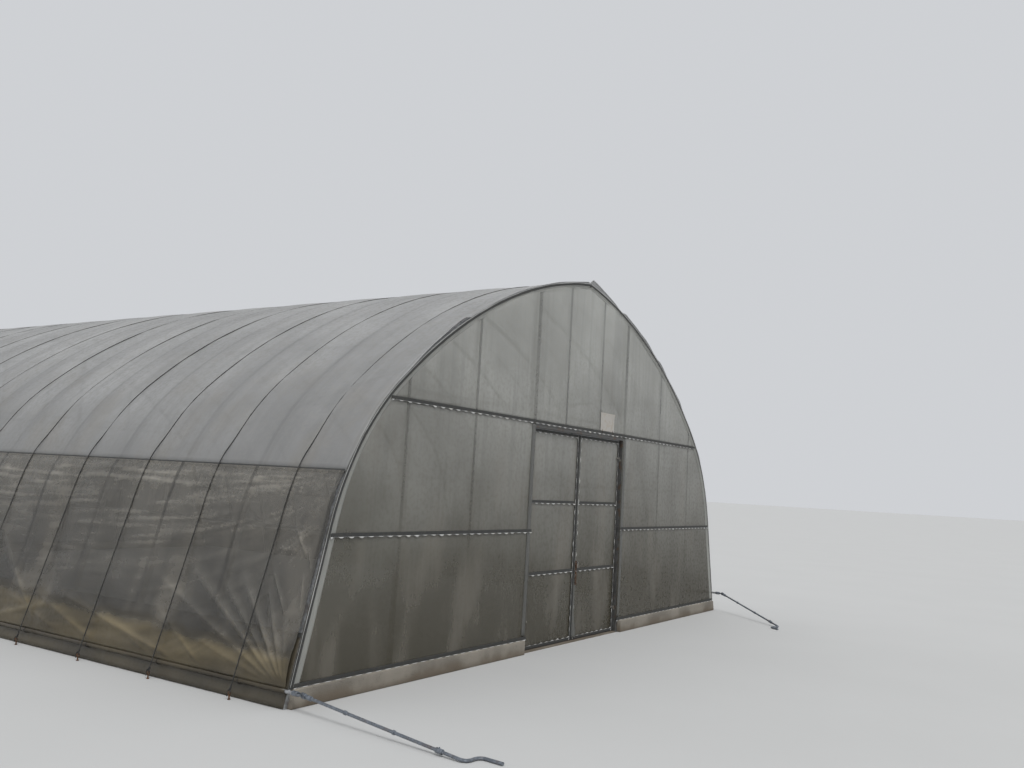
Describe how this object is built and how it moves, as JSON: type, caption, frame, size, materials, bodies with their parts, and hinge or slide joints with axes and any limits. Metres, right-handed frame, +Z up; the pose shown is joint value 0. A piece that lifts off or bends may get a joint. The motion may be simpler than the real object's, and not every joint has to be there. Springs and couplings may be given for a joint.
{
  "type": "polytunnel greenhouse",
  "caption": "Film-covered tunnel greenhouse with tube arches, a framed gable with double doors, roll-up side curtains with hand cranks, and press ropes over the roof.",
  "frame": {"origin": "on the ground at the middle of the tunnel's plan", "axes": "+X to the right across the tunnel seen from the doors, +Y along the tunnel away from the doors, +Z up"},
  "size_m": [8.2989, 12.646, 3.8161],
  "materials": {
    "galvanised_tube": "dull galvanised",
    "crank_steel": "galvanised, scratched",
    "door_hardware": "worn",
    "lock_channel": "with black coated lock wire",
    "roof_film": "pale translucent film",
    "gable_film": "thin translucent film",
    "old_film": "wrinkled, muddy at the foot",
    "concrete": "weathered concrete",
    "rope": "dull black",
    "anchor_steel": "rusty",
    "bare_plate": "faded white, bare"
  },
  "bodies": {
    "tunnel": {"arch_channels": "lock_channel", "back_arch": "galvanised_tube", "back_films": "gable_film", "back_kerb": "concrete", "back_rails": "lock_channel", "back_studs": "galvanised_tube", "curtain_left": "old_film", "curtain_rails": "lock_channel", "curtain_right": "old_film", "door_header": "galvanised_tube", "door_posts": "galvanised_tube", "door_sill": "concrete", "front_arch": "galvanised_tube", "front_kerbs": "concrete", "front_rails": "lock_channel", "front_studs": "galvanised_tube", "gable_film_upper": "gable_film", "gable_films_side": "gable_film", "gable_ties": "galvanised_tube", "hinge_pins": "door_hardware", "inner_arches": "galvanised_tube", "number_plate": "bare_plate", "pipe_yokes": "crank_steel", "press_ropes": "rope", "ridge_purlin": "galvanised_tube", "roll_pipes": "galvanised_tube", "roof_film": "roof_film", "roof_purlins": "galvanised_tube", "rope_anchors": "anchor_steel", "side_purlins": "galvanised_tube", "skirt_rails": "lock_channel", "skirts": "old_film", "wind_braces": "galvanised_tube"},
    "door_left": {"door_left_frame": "galvanised_tube", "door_left_film": "gable_film", "door_left_channels": "lock_channel", "hinge_eyes_left": "door_hardware"},
    "door_right": {"door_right_frame": "galvanised_tube", "door_right_film": "gable_film", "door_right_channels": "lock_channel", "hinge_eyes_right": "door_hardware", "door_hasp": "door_hardware"},
    "crank_left": {"crank_left": "crank_steel"},
    "crank_right": {"crank_right": "crank_steel"}
  },
  "joints": [
    {"name": "door_left_hinge", "type": "hinge", "parent": "tunnel", "child": "door_left", "pos_m": [-0.968, -5.3866, 1.07], "axis": [0, 0, -1], "range_deg": [0, 95]},
    {"name": "door_right_hinge", "type": "hinge", "parent": "tunnel", "child": "door_right", "pos_m": [0.968, -5.3866, 1.07], "axis": [0, 0, 1], "range_deg": [0, 95]},
    {"name": "crank_left_lift", "type": "hinge", "parent": "tunnel", "child": "crank_left", "pos_m": [-4.03835, -5.568, 0.12], "axis": [-1, 0, 0], "range_deg": [0, 35]},
    {"name": "crank_right_lift", "type": "hinge", "parent": "tunnel", "child": "crank_right", "pos_m": [4.0091, -5.568, 0.24], "axis": [-1, 0, 0], "range_deg": [0, 35]}
  ]
}
